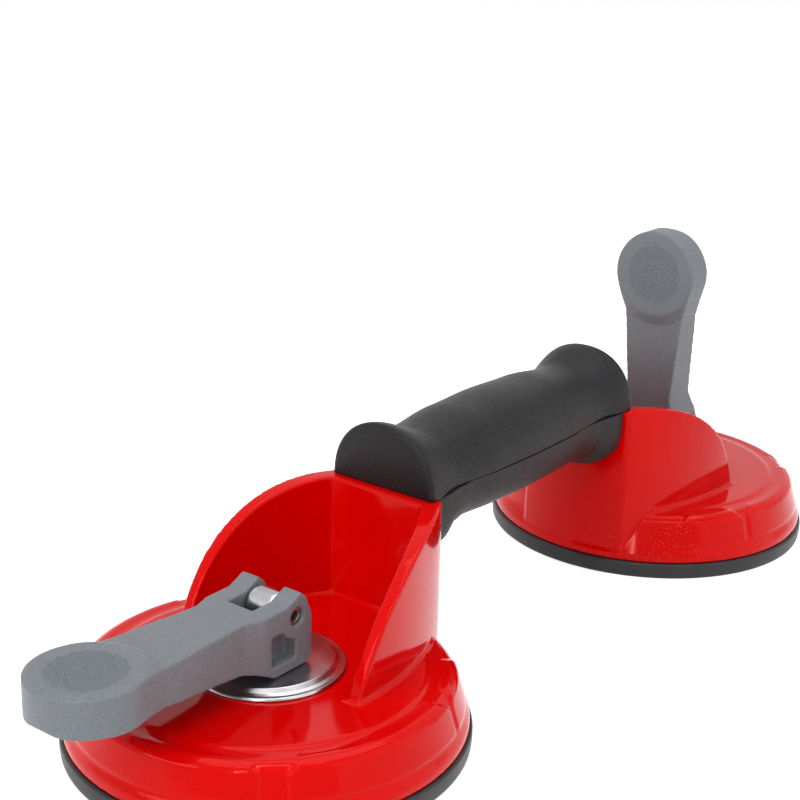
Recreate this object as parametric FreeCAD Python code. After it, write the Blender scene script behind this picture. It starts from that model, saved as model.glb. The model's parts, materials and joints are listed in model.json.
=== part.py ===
# Double suction lifter: two cups under one die casting, a two-shell grip and a flip lever on each cup.
# Frame: X along the grip, Z up, origin on the rest plane midway between the cups.
# The near cup (-X) is drawn engaged, its lever flat; the far cup (+X) is drawn released, lever upright.
import FreeCAD, Part
import math
import os
from FreeCAD import Vector

# ---- driving dimensions (mm) -------------------------------------------------------------
cup_spacing = 220.0          # between the two cup centres

# rubber pad
pad_radius = 60.0
pad_rim_height = 5.7         # the edge that the bell presses on
pad_rim_width = 10.0
pad_web = 3.0                # thickness of the flexible membrane
pad_boss_radius = 21.0
pad_floor_under_plate = 2.0
pad_lip = 1.1                # rubber that laps over the steel plate
pad_slope_start = 23.0       # where the membrane starts to fall from the boss

# steel plate moulded into the pad, and its nut
plate_radius = 18.0
plate_thickness = 3.0
plate_clearance = 0.1
nut_flats = 13.0
nut_height = 4.0

# bell of the casting
rim_radius = 59.1
rim_round_height = 12.6      # top of the convex rim
band_radius = 57.0           # foot of the shoulder band
band_top_radius = 54.8
band_top_height = 20.6
shoulder_round = 2.4
seat_height = 22.4           # machined seat under the dish washer
step_radius = 47.5           # shallow ring step on the dome
step_height = 0.5
bell_ceiling = 17.8          # roof of the cavity over the pad
cavity_radius = 51.0
nut_pocket_radius = 9.0
nut_pocket_ceiling = 19.0
shoulder_pad_raise = 0.8     # raised panels round the shoulder
shoulder_pads = ((-127.5, -71.5), (71.5, 127.5), (132.0, 228.0), (-69.0, -42.0), (42.0, 69.0))

# pocket walls that carry the grip
wall_top = 62.0
wall_back_radius = 58.6      # the back runs down the bell's cylinder to the rim
wall_corner_radius = 2.6     # soft upright corners of the back
wall_thickness = 10.1        # on the centre line
wall_ledge = 2.8             # strip of the wall's top left bare beside the grip
plate_face = wall_back_radius - wall_thickness    # flat face towards the lever, from the cup centre
rib_foot_inner = 31.5        # sideways distance of the rib's two faces where it is widest
rib_foot_outer = 35.5
rib_inner_radius = 81.5      # plan arcs of the two faces
rib_outer_radius = 100.0
rib_widest_place = 2.5       # distance from the cup centre at which the arcs run along X
rib_top_radius = 54.5        # arc of the rib's top edge, seen from the side
rib_top_lead = 2.5           # the arc leaves the level top this far behind the plate's face
rib_top_place = plate_face + rib_top_lead
rib_edge_round = 0.9

# bar inside the grip
bar_half_width = 9.0
bar_bottom = 54.5
bar_top = 71.5
bar_corner = 3.0
bar_root = 1.5               # length of bar inside each wall
bar_reach = cup_spacing / 2 - wall_back_radius + bar_root

# grip shells, as half widths and heights along half of the grip
grip_end = cup_spacing / 2 - plate_face - wall_ledge    # from the middle to the flat end face
grip_parting_gap = 0.3
grip_fit = 0.1               # shell to casting
end_half_width = 19.6
end_crown = 82.0
end_round = 1.4
waist_place = 47.0
waist_half_width = 17.2
waist_crown = 78.8
swell_place = 20.0
swell_half_width = 18.8
swell_crown = 80.2
middle_half_width = 19.2
middle_crown = 80.6
crown_squareness = 2.2
base_squareness = 2.7
apron_squareness = 4.2
apron_depth = 7.0            # length of the apron along the grip
apron_wrap = 9.3             # how far the apron wraps round the back of the wall
apron_bottom = 41.8
waist_bottom = 46.2
middle_bottom = 45.4

# grip screws
screw_place = 30.0           # from the middle, one each way
screw_radius = 2.0
screw_head_radius = 4.0
screw_head_height = 2.6
screw_seat_height = 50.5     # bottom of the counterbore
screw_tip_height = 76.0
screw_slot = 0.9             # width of the cross recess
screw_slot_depth = 1.3
screw_clearance = 0.05
screw_free = 0.3             # clearance of the holes that the screw passes through

# dish washer
washer_radius = 23.0
washer_plateau_radius = 19.6
washer_top = 25.0
washer_thickness = 1.2
washer_bore = 4.6

# guide bush
bush_outer = 6.0
bush_flange_radius = 9.0
bush_flange = 1.0
bush_fit = 0.05

# eye bolt and lever pin
shank_radius = 4.0
shank_fit = 0.05
eye_radius = 5.2
eye_half_width = 4.5
eye_edge = 0.3
pin_radius = 2.6
pin_bore = 1.5
pin_half_length = 10.2
pin_slit = 0.7
pin_fit = 0.05
pin_press = 0.02
shank_below_plate = 0.4      # thread left clear of the rubber

# lever, from its pin, arm towards -X when flat
lever_flat_reach = 16.0      # pin above the washer with the lever flat
lever_end_reach = 6.5        # pin above the washer with the lever upright
lever_seat_gap = 0.15
block_half_width = 11.3
block_length = 13.4
block_top = 4.2
ear_land_top = -1.0          # top of the flat that stands on the washer
ear_back_place = 4.0
ear_back = 4.9
ear_peak = 7.1
ear_peak_place = 1.5
ear_crease_place = -4.3
ear_crease = 4.4
block_heel = 8.4             # flat length behind the pin
bevel_length = 6.2
arm_half_width = 9.2
arm_flare = 1.3              # widening of the arm up to where it meets the tip
arm_top = 5.0
arm_end = 52.0
tip_centre = 68.0
tip_radius = 16.2
tip_top = 6.8
tip_slope = 3.3              # run of the conical edge round the raised tip
tip_edge = 0.2
tip_bottom = -5.0
arch = ((-58.0, -6.2), (-46.0, -7.8), (-33.0, -9.2), (-21.5, -10.8), (-15.0, -12.6))
slot_half_width = 4.75
slot_depth = 11.6            # from the pin to the closed end
window_depth = 4.5
window_left = -10.5
window_right = -0.6
window_bottom = -12.4
window_top = -3.0
pin_boss_radius = 6.5

stroke = lever_flat_reach - lever_end_reach
PARTS = "parts"
Y_AXIS = Vector(0, 1, 0)
Z_AXIS = Vector(0, 0, 1)
ORIGIN = Vector(0, 0, 0)


# ---- small helpers -----------------------------------------------------------------------
def cylinder(radius, bottom, top, x=0.0, y=0.0):
    return Part.makeCylinder(radius, top - bottom, Vector(x, y, bottom))


def box(x0, x1, y0, y1, z0, z1):
    return Part.makeBox(x1 - x0, y1 - y0, z1 - z0, Vector(x0, y0, z0))


def cross_cylinder(radius, half_length, z=0.0, x=0.0):
    return Part.makeCylinder(radius, 2 * half_length, Vector(x, -half_length, z), Y_AXIS)


def face_of(edges):
    return Part.Face(Part.Wire(Part.__sortEdges__(edges)))


def line(a, b):
    return Part.LineSegment(a, b).toShape()


def spline(points):
    curve = Part.BSplineCurve()
    curve.interpolate(points)
    return curve.toShape()


def is_upright(edge):
    return isinstance(edge.Curve, Part.Line) and abs(edge.tangentAt(edge.FirstParameter).z) > 0.999


def profile_face(profile):
    """Face in the X-Z plane from (radius, height) corners."""
    ring = [Vector(r, 0, z) for r, z in profile]
    return Part.Face(Part.makePolygon(ring + ring[:1]))


def turned(profile):
    """Solid of revolution about Z from (radius, height) corners."""
    solid = profile_face(profile).revolve(ORIGIN, Z_AXIS, 360)
    if solid.Volume < 0:
        solid.reverse()
    return solid


def turned_sector(profile, start, end):
    solid = profile_face(profile).revolve(ORIGIN, Z_AXIS, end - start)
    solid.rotate(ORIGIN, Z_AXIS, start)
    return solid


def at_near(shape):
    placed = shape.copy()
    placed.translate(Vector(-cup_spacing / 2, 0, 0))
    return placed


def at_far(shape):
    placed = shape.copy()
    placed.rotate(ORIGIN, Z_AXIS, 180)
    placed.translate(Vector(cup_spacing / 2, 0, 0))
    return placed


def raised(shape, lift):
    placed = shape.copy()
    placed.translate(Vector(0, 0, lift))
    return placed


# ---- casting -----------------------------------------------------------------------------
def bell():
    """One cup of the casting: rim, shoulder band, dome and cavity."""
    rim = [
        line(Vector(0, 0, pad_rim_height), Vector(rim_radius, 0, pad_rim_height)),
        line(Vector(rim_radius, 0, pad_rim_height), Vector(rim_radius, 0, pad_rim_height + 2.0)),
    ]
    shoulder_rise = rim_round_height - pad_rim_height - 2.0
    rim.append(Part.Arc(
        Vector(rim_radius, 0, pad_rim_height + 2.0),
        Vector(rim_radius - 0.5, 0, pad_rim_height + 2.0 + 0.6 * shoulder_rise),
        Vector(band_radius, 0, rim_round_height)).toShape())
    edge_inner = band_top_radius - shoulder_round
    edge_top = seat_height - step_height - 0.2
    rim.append(line(Vector(band_radius, 0, rim_round_height),
                    Vector(band_top_radius, 0, band_top_height - 1.0)))
    rim.append(Part.Arc(
        Vector(band_top_radius, 0, band_top_height - 1.0),
        Vector(band_top_radius - 0.32 * shoulder_round, 0, edge_top - 0.55),
        Vector(edge_inner, 0, edge_top)).toShape())
    dome = [(edge_inner, edge_top), (step_radius, seat_height - step_height),
            (step_radius - 1.0, seat_height), (0.0, seat_height), (0.0, pad_rim_height)]
    for a, b in zip(dome, dome[1:]):
        rim.append(line(Vector(a[0], 0, a[1]), Vector(b[0], 0, b[1])))
    solid = face_of(rim).revolve(ORIGIN, Z_AXIS, 360)
    panel = [(band_radius + shoulder_pad_raise, rim_round_height - 0.6),
             (band_top_radius + shoulder_pad_raise, band_top_height - 0.6),
             (band_top_radius - 1.2, band_top_height + 0.2),
             (band_radius - 4.0, band_top_height - 3.0),
             (band_radius - 4.0, rim_round_height - 0.6)]
    for start, end in shoulder_pads:
        solid = solid.fuse(turned_sector(panel, start, end))
    return solid


def cavity():
    """Room under the dome for the pad, the nut and the bush."""
    roof = turned([(0, pad_rim_height - 1.0), (cavity_radius + 1.6, pad_rim_height - 1.0),
                   (cavity_radius, bell_ceiling - 5.0), (cavity_radius - 4.0, bell_ceiling),
                   (0, bell_ceiling)])
    pocket = cylinder(nut_pocket_radius, bell_ceiling - 1.0, nut_pocket_ceiling)
    hole = cylinder(bush_outer + bush_fit, nut_pocket_ceiling - 1.0, seat_height + 1.0)
    return roof.fuse([pocket, hole])


def lens(half_width, radius, bottom, top):
    """Upright prism between two mirrored plan arcs."""
    offset = radius - half_width
    left = cylinder(radius, bottom, top, rib_widest_place, -offset)
    right = cylinder(radius, bottom, top, rib_widest_place, offset)
    return left.common(right)


def pocket_walls():
    """Plate and two bowed ribs round the lever's heel, with the back on the bell's cylinder."""
    bottom = pad_rim_height
    block = lens(rib_foot_outer, rib_outer_radius, bottom, wall_top)
    block = block.common(cylinder(wall_back_radius, bottom - 1.0, wall_top + 1.0))
    block = block.common(box(rib_widest_place - rib_foot_inner / 4, rib_outer_radius,
                             -rib_foot_outer, rib_foot_outer, bottom - 1.0, wall_top + 1.0))
    corners = [e for e in block.Edges if is_upright(e) and e.BoundBox.XMin > rib_widest_place]
    block = block.makeFillet(wall_corner_radius, corners)
    room = lens(rib_foot_inner, rib_inner_radius, seat_height, wall_top + 2.0)
    room = room.common(box(-rib_inner_radius, plate_face, -rib_foot_outer, rib_foot_outer,
                           seat_height - 1.0, wall_top + 3.0))
    block = block.cut(room)
    sweep = cross_cylinder(rib_top_radius, rib_foot_outer + 5.0, wall_top - rib_top_radius, rib_top_place)
    level = box(rib_top_place, wall_back_radius + 5.0, -rib_foot_outer - 5.0, rib_foot_outer + 5.0,
                bottom - 1.0, wall_top)
    base = cylinder(band_top_radius - shoulder_round - 1.0, bottom, seat_height - step_height)
    walls = block.common(sweep.fuse(level)).fuse(block.common(base))
    foot_top = seat_height + rib_foot_outer - rib_foot_inner
    top_edges = [e for e in walls.Edges
                 if not is_upright(e) and e.BoundBox.ZMax > foot_top and e.BoundBox.ZMin > bottom + 1.0]
    return walls.makeFillet(rib_edge_round, top_edges)


def bar():
    """Beam of the casting that joins the two walls inside the grip."""
    beam = box(-bar_reach, bar_reach, -bar_half_width, bar_half_width, bar_bottom, bar_top)
    long_edges = [e for e in beam.Edges if abs(e.tangentAt(e.FirstParameter).x) > 0.99]
    beam = beam.makeFillet(bar_corner, long_edges)
    for place in (-screw_place, screw_place):
        beam = beam.cut(cylinder(screw_radius + screw_free, bar_bottom - 1, bar_top + 1, place))
    return beam


def cast_body():
    cup = bell().fuse(pocket_walls()).cut(cavity())
    body = at_near(cup).fuse([at_far(cup), bar()])
    return body.removeSplitter()


# ---- grip --------------------------------------------------------------------------------
def half_section(place, half_width, crown, base, squareness):
    """Closed D outline in the plane X = place, from the parting line to the crown."""
    steps = 10
    points = []
    for i in range(steps + 1):
        angle = math.pi * i / steps
        c = abs(math.cos(angle))
        s = math.sin(angle)
        reach = (c ** squareness + s ** squareness) ** (-1.0 / squareness)
        points.append(Vector(place, half_width * reach * math.cos(angle), base + (crown - base) * reach * s))
    return Part.Wire([spline(points), line(points[-1], points[0])])


def grip_loft(stations, base):
    sections = []
    for place, half_width, crown, squareness in stations:
        sections.append(half_section(place, half_width, crown, base, squareness))
    return Part.makeLoft(sections, True, False)


def mirrored_stations(half):
    return [(-p, w, c, q) for p, w, c, q in half] + [(p, w, c, q) for p, w, c, q in reversed(half[:-1])]


def bar_room(z0, z1):
    reach = bar_reach + grip_fit
    side = bar_half_width + grip_fit
    return box(-reach, reach, -side, side, z0, z1)


def grip_upper_shell():
    base = wall_top + grip_parting_gap / 2
    half = [(grip_end, end_half_width - end_round, end_crown - end_round, crown_squareness),
            (grip_end - end_round, end_half_width, end_crown, crown_squareness),
            (grip_end - 3 * end_round, end_half_width - 0.5, end_crown - 0.8, crown_squareness),
            (waist_place, waist_half_width, waist_crown, crown_squareness),
            (swell_place, swell_half_width, swell_crown, crown_squareness),
            (0.0, middle_half_width, middle_crown, crown_squareness)]
    shell = grip_loft(mirrored_stations(half), base)
    shell = shell.cut(bar_room(base - 1.0, bar_top + grip_fit))
    for place in (-screw_place, screw_place):
        shell = shell.cut(cylinder(screw_radius + screw_clearance, bar_top - 1.0, screw_tip_height + 0.5, place))
    return shell


def grip_lower_shell():
    base = wall_top - grip_parting_gap / 2
    apron_start = cup_spacing / 2 - wall_back_radius
    half = [(apron_start + apron_wrap, end_half_width - 0.3, apron_bottom, apron_squareness),
            (apron_start, end_half_width - 0.3, apron_bottom + 0.4, apron_squareness),
            (apron_start - apron_depth, waist_half_width + 0.4, waist_bottom - 0.6, base_squareness),
            (apron_start - 2 * apron_depth, waist_half_width + 0.2, waist_bottom, base_squareness),
            (swell_place, swell_half_width, middle_bottom + 0.3, base_squareness),
            (0.0, middle_half_width, middle_bottom, base_squareness)]
    shell = grip_loft(mirrored_stations(half), base)
    for centre in (-cup_spacing / 2, cup_spacing / 2):
        shell = shell.cut(cylinder(wall_back_radius + grip_fit, apron_bottom - 5, wall_top + 5, centre))
    shell = shell.cut(bar_room(bar_bottom - grip_fit, base + 1.0))
    for place in (-screw_place, screw_place):
        shell = shell.cut(cylinder(screw_radius + screw_free, apron_bottom - 5, bar_bottom + 1, place))
        shell = shell.cut(cylinder(screw_head_radius + screw_free, apron_bottom - 5, screw_seat_height, place))
    return shell


def grip_screws():
    screws = []
    head_bottom = screw_seat_height - screw_head_height
    for place in (-screw_place, screw_place):
        head = cylinder(screw_head_radius, head_bottom, screw_seat_height, place)
        rim = [e for e in head.Edges if e.BoundBox.ZMax < head_bottom + 0.01]
        head = head.makeChamfer(0.3 * screw_head_height, rim[:1])
        top = head_bottom + screw_slot_depth
        arm, half = 0.55 * screw_head_radius, screw_slot / 2
        recess = box(place - arm, place + arm, -half, half, head_bottom - 0.1, top)
        cross = box(place - half, place + half, -arm, arm, head_bottom - 0.1, top)
        shank = cylinder(screw_radius, screw_seat_height - 0.5, screw_tip_height, place)
        screws.append(head.fuse(shank).cut(recess.fuse(cross)))
    return Part.makeCompound(screws)


# ---- cup hardware ------------------------------------------------------------------------
def dish_washer():
    """Pressed steel washer: flat flange, rolled step, level plateau that the lever bears on."""
    under = washer_top - washer_thickness
    step = washer_radius - washer_plateau_radius
    outer = washer_plateau_radius
    outline = [(washer_bore, washer_top), (outer - 0.8, washer_top), (outer, washer_top - 0.35),
               (outer + 0.35 * step, seat_height + washer_thickness + 0.25),
               (outer + 0.55 * step, seat_height + washer_thickness - 0.1),
               (washer_radius - 0.5, seat_height + washer_thickness),
               (washer_radius, seat_height + 0.6 * washer_thickness), (washer_radius, seat_height),
               (outer + 0.25 * step, seat_height), (outer - 1.1, under), (washer_bore, under)]
    return turned(outline)


def guide_bush():
    return turned([(shank_radius + shank_fit, nut_pocket_ceiling), (bush_outer, nut_pocket_ceiling),
                   (bush_outer, seat_height), (bush_flange_radius, seat_height),
                   (bush_flange_radius, seat_height + bush_flange),
                   (shank_radius + shank_fit, seat_height + bush_flange)])


def pin_height(lift):
    return washer_top + lever_end_reach + lift


def eye_bolt():
    """Drawn released; the shank runs from the moulded plate up to the eye."""
    z = pin_height(0.0)
    bottom = pad_floor_under_plate + shank_below_plate
    shank = cylinder(shank_radius, bottom, z)
    eye = cross_cylinder(eye_radius, eye_half_width - eye_edge, z)
    for way in (-1, 1):
        base = Vector(0, way * (eye_half_width - eye_edge), z)
        eye = eye.fuse(Part.makeCone(eye_radius, eye_radius - eye_edge, eye_edge, base, Y_AXIS * way))
    return shank.fuse(eye).cut(cross_cylinder(pin_radius + pin_fit, eye_half_width + 1, z)).removeSplitter()


def insert_plate():
    z = pad_floor_under_plate
    disc = cylinder(plate_radius, z, z + plate_thickness)
    rim = [e for e in disc.Edges if len(e.Vertexes) == 1]
    disc = disc.makeChamfer(0.4, rim)
    return disc.cut(cylinder(shank_radius + shank_fit, z - 1, z + plate_thickness + 1))


def lock_nut():
    z = pad_floor_under_plate + plate_thickness
    corner = nut_flats / math.sqrt(3.0)
    ring = []
    for i in range(7):
        angle = math.pi / 3 * i
        ring.append(Vector(corner * math.cos(angle), corner * math.sin(angle), z))
    prism = Part.Face(Part.makePolygon(ring)).extrude(Vector(0, 0, nut_height))
    flank = 0.7
    dome = turned([(0, z), (corner + 0.1 - flank, z), (corner + 0.1, z + 0.4 * flank),
                   (corner + 0.1, z + nut_height - 0.4 * flank), (corner + 0.1 - flank, z + nut_height),
                   (0, z + nut_height)])
    return prism.common(dome).cut(cylinder(shank_radius + shank_fit, z - 1, z + nut_height + 1))


def rubber_pad(lift):
    """Pad with its centre raised by lift; the rim stays under the bell."""
    rim_inner = pad_radius - pad_rim_width
    slope_end = rim_inner - 2.0
    top_of_boss = pad_floor_under_plate + plate_thickness + pad_lip + lift
    pocket = plate_radius + plate_clearance
    pocket_low = pad_floor_under_plate - plate_clearance + lift
    pocket_high = pad_floor_under_plate + plate_thickness + plate_clearance + lift
    mouth = nut_flats / math.sqrt(3.0) + 1.5

    def membrane(offset):
        points = []
        steps = 6
        for i in range(steps + 1):
            t = i / steps
            r = slope_end + (pad_slope_start - slope_end) * t
            points.append(Vector(r, 0, offset + lift * t * t * (3 - 2 * t)))
        return points

    low = membrane(0.0)
    high = membrane(pad_web)
    edges = []
    if lift == 0.0:
        low, high = [low[0], low[-1]], [high[0], high[-1]]
    outer = [high[0], Vector(rim_inner, 0, pad_rim_height), Vector(pad_radius - 0.4, 0, pad_rim_height),
             Vector(pad_radius, 0, pad_rim_height - 0.4), Vector(pad_radius, 0, 0.9),
             Vector(pad_radius - 0.9, 0, 0), low[0]]
    inner = [high[-1], Vector(pad_boss_radius, 0, top_of_boss), Vector(mouth, 0, top_of_boss),
             Vector(mouth, 0, pocket_high), Vector(pocket, 0, pocket_high), Vector(pocket, 0, pocket_low),
             Vector(0, 0, pocket_low), Vector(0, 0, lift), low[-1]]
    for chain in (low, high, outer, inner):
        for a, b in zip(chain, chain[1:]):
            edges.append(line(a, b))
    return face_of(edges).revolve(ORIGIN, Z_AXIS, 360)


# ---- lever -------------------------------------------------------------------------------
def cam_relief():
    """Heel of the fork that keeps one gap to the washer while the pin sinks in step with the turn."""
    flat = lever_flat_reach - lever_seat_gap
    rate = -stroke / (math.pi / 2)
    steps = 8
    points = []
    for i in range(steps + 1):
        turn = math.pi / 2 * i / steps
        reach = flat + rate * turn
        points.append(Vector(reach * math.sin(turn) + rate * math.cos(turn), 0,
                             -reach * math.cos(turn) + rate * math.sin(turn)))
    return points


def lever_side():
    """Side outline of the lever in X-Z, from the pin."""
    relief = cam_relief()
    end_x = relief[-1].x
    flat = relief[0].z
    tip_end = -(tip_centre + tip_radius)
    top = [relief[-1], Vector(end_x, 0, ear_land_top), Vector(ear_back_place, 0, ear_back),
           Vector(ear_peak_place, 0, ear_peak), Vector(ear_crease_place, 0, ear_crease),
           Vector(-block_length, 0, block_top), Vector(-arm_end, 0, arm_top),
           Vector(tip_end, 0, arm_top), Vector(tip_end, 0, tip_bottom)]
    under = [Vector(tip_end, 0, tip_bottom)]
    curve = [Vector(x, 0, z) for x, z in arch]
    heel = Vector(-block_heel, 0, flat)
    edges = [spline(relief)]
    for a, b in zip(top, top[1:]):
        edges.append(line(a, b))
    edges.append(line(under[0], curve[0]))
    edges.append(spline(curve))
    edges.append(line(curve[-1], heel))
    edges.append(line(heel, relief[0]))
    return face_of(edges)


def tip_tangent():
    """Point where the flared side meets the round tip."""
    corner = (-arm_end, arm_half_width + arm_flare)
    dx = corner[0] + tip_centre
    dy = corner[1]
    reach = math.hypot(dx, dy)
    spread = math.acos(tip_radius / reach)
    angle = math.atan2(dy, dx) + spread
    return (-tip_centre + tip_radius * math.cos(angle), tip_radius * math.sin(angle))


def lever_plan():
    """Plan outline of the lever in X-Y, at Z = 0."""
    tx, ty = tip_tangent()
    upper = [(lever_end_reach, block_half_width), (-block_length, block_half_width),
             (-block_length - bevel_length, arm_half_width), (-arm_end, arm_half_width + arm_flare), (tx, ty)]
    edges = []
    for side in (1, -1):
        for a, b in zip(upper, upper[1:]):
            edges.append(line(Vector(a[0], side * a[1], 0), Vector(b[0], side * b[1], 0)))
    edges.append(line(Vector(lever_end_reach, block_half_width, 0), Vector(lever_end_reach, -block_half_width, 0)))
    edges.append(Part.Arc(Vector(tx, ty, 0), Vector(-tip_centre - tip_radius, 0, 0), Vector(tx, -ty, 0)).toShape())
    return face_of(edges)


def lever_window(side):
    """L-shaped pocket in a cheek of the fork; the pin boss stands into it."""
    outer = block_half_width + 1.0
    inner = block_half_width - window_depth
    low, high = sorted((side * inner, side * outer))
    pocket = box(window_left, window_right, low, high, window_bottom, window_top)
    return pocket.cut(cross_cylinder(pin_boss_radius, block_half_width + 2))


def lever():
    reach = tip_radius + 1.0
    side = lever_side().extrude(Vector(0, 2 * reach, 0))
    side.translate(Vector(0, -reach, 0))
    plan = lever_plan().extrude(Vector(0, 0, 4 * lever_flat_reach))
    plan.translate(Vector(0, 0, -2 * lever_flat_reach))
    crown = Part.makeCone(tip_radius + tip_slope, tip_radius - tip_edge, tip_top - arm_top,
                          Vector(-tip_centre, 0, arm_top))
    solid = side.common(plan).fuse(crown.common(plan))
    slot = box(-slot_depth, lever_end_reach + 1, -slot_half_width, slot_half_width,
               -lever_flat_reach - 1, ear_peak + 1)
    cuts = [slot, cross_cylinder(pin_radius + pin_press, block_half_width + 2),
            lever_window(1), lever_window(-1)]
    for tool in cuts:
        solid = solid.cut(tool)
    return solid.removeSplitter()


def lever_pin():
    """Hollow spring pin with its slit."""
    tube = cross_cylinder(pin_radius, pin_half_length).cut(cross_cylinder(pin_bore, pin_half_length + 1))
    slit = box(-pin_radius - 1, 0, -pin_half_length - 1, pin_half_length + 1, -pin_slit / 2, pin_slit / 2)
    return tube.cut(slit)


def lever_flat(shape):
    placed = shape.copy()
    placed.translate(Vector(0, 0, pin_height(stroke)))
    return placed


def lever_upright(shape):
    placed = shape.copy()
    placed.rotate(ORIGIN, Y_AXIS, 90)
    placed.translate(Vector(0, 0, pin_height(0.0)))
    return placed


# ---- whole lifter ------------------------------------------------------------------------
def build():
    nodes = {
        "cast_body": cast_body(),
        "grip_upper_shell": grip_upper_shell(),
        "grip_lower_shell": grip_lower_shell(),
        "grip_screws": grip_screws(),
    }
    fixed = {"dish_washer": dish_washer(), "guide_bush": guide_bush()}
    rising = {"eye_bolt": eye_bolt(), "pad_insert_plate": insert_plate(), "lock_nut": lock_nut()}
    turning = {"lever": lever(), "lever_pin": lever_pin()}
    for name, shape in fixed.items():
        nodes["near_" + name] = at_near(shape)
        nodes["far_" + name] = at_far(shape)
    for name, shape in rising.items():
        nodes["near_" + name] = at_near(raised(shape, stroke))
        nodes["far_" + name] = at_far(shape)
    for name, shape in turning.items():
        nodes["near_" + name] = at_near(lever_flat(shape))
        nodes["far_" + name] = at_far(lever_upright(shape))
    nodes["near_rubber_pad"] = at_near(rubber_pad(stroke))
    nodes["far_rubber_pad"] = at_far(rubber_pad(0.0))
    return nodes


def main():
    os.makedirs(PARTS, exist_ok=True)
    for name, shape in build().items():
        solids = shape.Solids
        whole = solids[0] if len(solids) == 1 else Part.makeCompound(solids)
        box_of = whole.BoundBox
        print(f"{name:22s} solids {len(solids)} valid {whole.isValid()} volume {whole.Volume:10.1f} "
              f"x {box_of.XMin:8.2f} {box_of.XMax:8.2f} y {box_of.YMin:7.2f} {box_of.YMax:7.2f} "
              f"z {box_of.ZMin:7.2f} {box_of.ZMax:7.2f}")
        whole.exportStep(os.path.join(PARTS, name + ".step"))


main()
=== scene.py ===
import json
import math
import bpy
import bmesh
from mathutils import Matrix, Vector


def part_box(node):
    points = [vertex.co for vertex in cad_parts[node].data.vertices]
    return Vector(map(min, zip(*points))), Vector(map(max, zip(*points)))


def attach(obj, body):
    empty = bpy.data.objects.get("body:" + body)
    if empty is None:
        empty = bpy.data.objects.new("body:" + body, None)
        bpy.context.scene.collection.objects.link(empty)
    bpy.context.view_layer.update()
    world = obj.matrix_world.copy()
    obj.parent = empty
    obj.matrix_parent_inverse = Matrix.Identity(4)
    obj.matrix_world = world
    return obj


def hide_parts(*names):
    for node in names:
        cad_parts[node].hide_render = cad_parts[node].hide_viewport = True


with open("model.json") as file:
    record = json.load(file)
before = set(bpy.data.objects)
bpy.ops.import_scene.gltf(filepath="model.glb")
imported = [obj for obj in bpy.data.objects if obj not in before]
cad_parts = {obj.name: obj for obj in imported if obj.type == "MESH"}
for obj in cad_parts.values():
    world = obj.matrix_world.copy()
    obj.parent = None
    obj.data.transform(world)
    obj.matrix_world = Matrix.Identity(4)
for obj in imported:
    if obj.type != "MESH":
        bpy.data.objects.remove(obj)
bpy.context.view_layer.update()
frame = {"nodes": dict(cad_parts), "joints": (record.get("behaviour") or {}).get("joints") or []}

# Double suction lifter, dressed on its frame. Outlines are in millimetres about a cup's centre or a
# lever's pin; MM takes them to the frame's metres.
MM = 0.001


# ---- sizes read from the frame -----------------------------------------------------------
def centre_of(node):
    low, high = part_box(node)
    return tuple((a + b) / 2 for a, b in zip(low, high))


def span_of(node, axis):
    low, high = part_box(node)
    return (high[axis] - low[axis]) / MM


NEAR_CUP = centre_of("near_dish_washer")[0] / MM
FAR_CUP = centre_of("far_dish_washer")[0] / MM
PAD_RADIUS = round(span_of("far_rubber_pad", 0) / 2, 1)
WASHER_RADIUS = span_of("near_dish_washer", 0) / 2
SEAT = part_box("near_dish_washer")[0][2] / MM
WASHER_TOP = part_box("near_dish_washer")[1][2] / MM
GRIP_END = span_of("grip_upper_shell", 0) / 2
HINGES = {joint["name"]: joint["pos_m"] for joint in frame["joints"] if joint["type"] == "hinge"}
NEAR_PIN = HINGES["near_lever_hinge"][2] / MM
FAR_PIN = HINGES["far_lever_hinge"][2] / MM
STROKE = NEAR_PIN - FAR_PIN      # how far a bolt sinks as its lever is raised

# eye bolt and pin
PIN_RADIUS = 2.6
PIN_BORE = 1.5
PIN_REACH = 10.2                 # half of its length
SLIT_HALF_ANGLE = 8
EYE_RADIUS = 5.2
EYE_HALF = 4.5
SHANK_RADIUS = 4.0
SHANK_FOOT = 2.4                 # height of the shank's foot when the cup is released

# casting, from a cup's centre with the grip towards +X
RIM_RADIUS = 59.1
RIM_FOOT = 5.7
RIM_TOP = 8.4
BAND_RADIUS = 57.0
BAND_FOOT = 12.6
BAND_TOP_RADIUS = 54.8
BAND_TOP = 19.6
DOME_EDGE = 52.6
STEP_RADIUS = 47.6               # foot of the low ring step that carries the washer
CEILING = 17.8
CAVITY_RADIUS = 51.0
CAVITY_ROOF_RADIUS = 47.0
CAVITY_SHOULDER = CEILING - 5    # the cavity draws in from here to its ceiling
NUT_POCKET_RADIUS = 10.8
NUT_POCKET_CEILING = 19.5
BUSH_HOLE = SHANK_RADIUS + 2.05
WALL_TOP = 62.0
WALL_BACK = 58.6
WALL_CORNER = 2.6
PLATE_FACE = 48.5
PLATE_CORNER = 1.6
CORNER_LEAD = 4.0                # room that a plan arc leaves for the corner's round, as a length
CORNER_LEAD_ANGLE = 4.5          # and, on the back, as an angle
RIB_FRONT = -14.0
RIB_WIDEST = 2.5
RIB_INNER = (31.5, 81.5)         # sideways reach and plan radius of the rib's inner face
RIB_OUTER = (35.5, 100.0)
RIB_TOP_RADIUS = 54.5
RIB_TOP_PLACE = 51.0
FOOT_FLARE = 0.6                 # how far the walls spread at their feet
FOOT_REACH = 51.6
BAR_REACH = 54.0
BAR_HALF = 9
BAR_HEIGHTS = (54.5, 71.5)

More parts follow.
